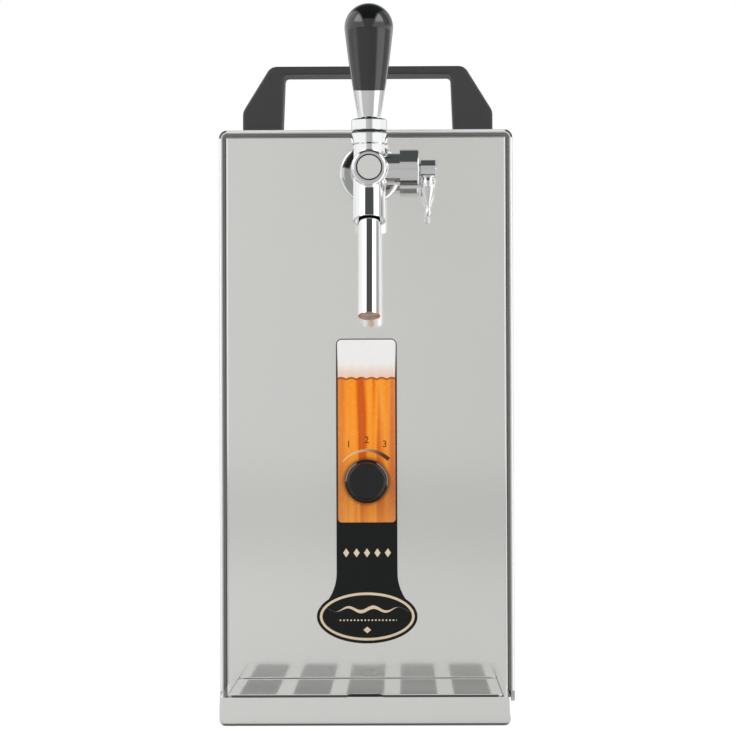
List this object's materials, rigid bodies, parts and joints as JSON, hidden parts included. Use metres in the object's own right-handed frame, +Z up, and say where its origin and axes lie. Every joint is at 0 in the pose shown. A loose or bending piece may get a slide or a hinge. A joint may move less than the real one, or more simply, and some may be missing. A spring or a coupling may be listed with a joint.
{
  "type": "beverage dispenser",
  "caption": "Slim counter-top beer cooler: steel box with carry handle, chrome compensator tap, thermostat dial, drip tray, built-in cooling and air pump.",
  "frame": {"origin": "on the counter, at the middle of the overall bounding box", "axes": "+Z up, front (tap and drip tray) towards -Y, +X to the right seen from the front"},
  "size_m": [0.175, 0.4, 0.4133],
  "materials": {
    "panel_steel": "polished",
    "casing_steel": "brushed",
    "zinc_steel": "zinc plated",
    "tray_steel": "satin",
    "tap_chrome": "polished",
    "handle_plastic": "moulded, matt",
    "grip_plastic": "glossy",
    "knob_plastic": "satin",
    "label_print": "printed, glossy",
    "black_rubber": "matt",
    "brass_parts": "machined",
    "steel_tube": "drawn",
    "copper_tube": "drawn copper",
    "cast_aluminium": "cast",
    "fin_aluminium": "mill",
    "insulation_foam": "expanded foam",
    "compressor_paint": "enamel",
    "black_moulding": "moulded",
    "grey_moulding": "moulded",
    "white_moulding": "moulded",
    "hose_plastic": "extruded",
    "wire_jacket": "extruded"
  },
  "bodies": {
    "cabinet": {"base_pan": "zinc_steel", "rubber_feet": "black_rubber", "front_panel": "panel_steel", "casing_wrap": "casing_steel", "rear_panel": "zinc_steel", "casing_screws": "zinc_steel", "carry_handle": "handle_plastic", "machine_bolts": "zinc_steel", "label_plate": "label_print", "escutcheon": "tap_chrome", "tap_shank": "tap_chrome", "shank_gasket": "black_rubber", "shank_nut": "brass_parts", "tap_body": "tap_chrome", "tap_front_cap": "tap_chrome", "bonnet_nut": "tap_chrome", "bonnet_cap": "tap_chrome", "spout_tube": "tap_chrome", "compensator_barrel": "tap_chrome", "thermostat_body": "white_moulding", "thermostat_nut": "brass_parts", "thermostat_bulb": "copper_tube", "cooling_block": "cast_aluminium", "insulation_halves": "insulation_foam", "beer_coil": "steel_tube", "evaporator_coil": "copper_tube", "cooling_shelf": "zinc_steel", "tap_feed_line": "hose_plastic", "compressor": "compressor_paint", "rubber_mounts": "black_rubber", "compressor_relay": "black_moulding", "refrigerant_lines": "copper_tube", "filter_drier": "copper_tube", "capillary_tube": "copper_tube", "condenser_coil": "copper_tube", "condenser_fins": "fin_aluminium", "fan_frame": "black_moulding", "fan_motor": "black_moulding", "fan_guard": "zinc_steel", "air_pump": "grey_moulding", "air_hose": "hose_plastic", "push_fittings": "grey_moulding", "power_inlet": "black_moulding", "switch_housings": "black_moulding", "wiring": "wire_jacket"},
    "tap_lever": {"lever_stem": "brass_parts", "lever_ferrule": "tap_chrome", "lever_handle": "grip_plastic"},
    "plunger": {"tap_plunger": "white_moulding"},
    "flow_lever": {"compensator_lever": "tap_chrome"},
    "flow_plug": {"compensator_plug": "white_moulding"},
    "dial": {"thermostat_knob": "knob_plastic", "thermostat_spindle": "brass_parts"},
    "fan_rotor": {"fan_blades": "black_moulding"},
    "beer_release": {"beer_collet": "grey_moulding"},
    "air_release": {"air_collet": "grey_moulding"},
    "cooling_switch": {"cooling_rocker": "black_moulding"},
    "pump_switch": {"pump_rocker": "black_moulding"},
    "tray": {"drip_tray": "tray_steel"},
    "grid": {"drip_grid": "tray_steel"}
  },
  "joints": [
    {"name": "tap_lever_tilt", "type": "hinge", "parent": "cabinet", "child": "tap_lever", "pos_m": [0.0026, -0.1137, 0.3425], "axis": [1, 0, 0], "range_deg": [-8, 16]},
    {"name": "plunger_slide", "type": "slide", "parent": "cabinet", "child": "plunger", "axis": [0, 1, 0], "range_m": [-0.0035, 0.0065]},
    {"name": "flow_lever_turn", "type": "hinge", "parent": "cabinet", "child": "flow_lever", "pos_m": [0.03685, -0.1137, 0.317], "axis": [1, 0, 0], "range_deg": [-80, 80]},
    {"name": "flow_plug_slide", "type": "slide", "parent": "cabinet", "child": "flow_plug", "axis": [1, 0, 0], "range_m": [-0.001, 0.001]},
    {"name": "dial_turn", "type": "hinge", "parent": "cabinet", "child": "dial", "pos_m": [0, -0.0857, 0.134], "axis": [0, 1, 0], "range_deg": [-135, 135]},
    {"name": "fan_spin", "type": "hinge", "parent": "cabinet", "child": "fan_rotor", "pos_m": [0.0485, 0.0043, 0.0647], "axis": [1, 0, 0], "continuous": true},
    {"name": "beer_collet_press", "type": "slide", "parent": "cabinet", "child": "beer_release", "axis": [0, -1, 0], "range_m": [0, 0.0015], "stiffness_N_per_m": 400},
    {"name": "air_collet_press", "type": "slide", "parent": "cabinet", "child": "air_release", "axis": [0, -1, 0], "range_m": [0, 0.0015], "stiffness_N_per_m": 400},
    {"name": "cooling_rocker_tip", "type": "hinge", "parent": "cabinet", "child": "cooling_switch", "pos_m": [0.048, 0.1863, 0.13], "axis": [1, 0, 0], "range_deg": [-14, 0]},
    {"name": "pump_rocker_tip", "type": "hinge", "parent": "cabinet", "child": "pump_switch", "pos_m": [0.048, 0.1863, 0.095], "axis": [1, 0, 0], "range_deg": [-14, 0]},
    {"name": "tray_pull", "type": "slide", "parent": "cabinet", "child": "tray", "axis": [0, -1, 0], "range_m": [0, 0.12]},
    {"name": "grid_lift", "type": "slide", "parent": "tray", "child": "grid", "axis": [0, 0, 1], "range_m": [0, 0.04]}
  ],
  "couplings": [
    {"joint": "plunger_slide", "follows": "tap_lever_tilt", "m_per_rad": 0.0212},
    {"joint": "flow_plug_slide", "follows": "flow_lever_turn", "m_per_rad": -0.0006}
  ]
}
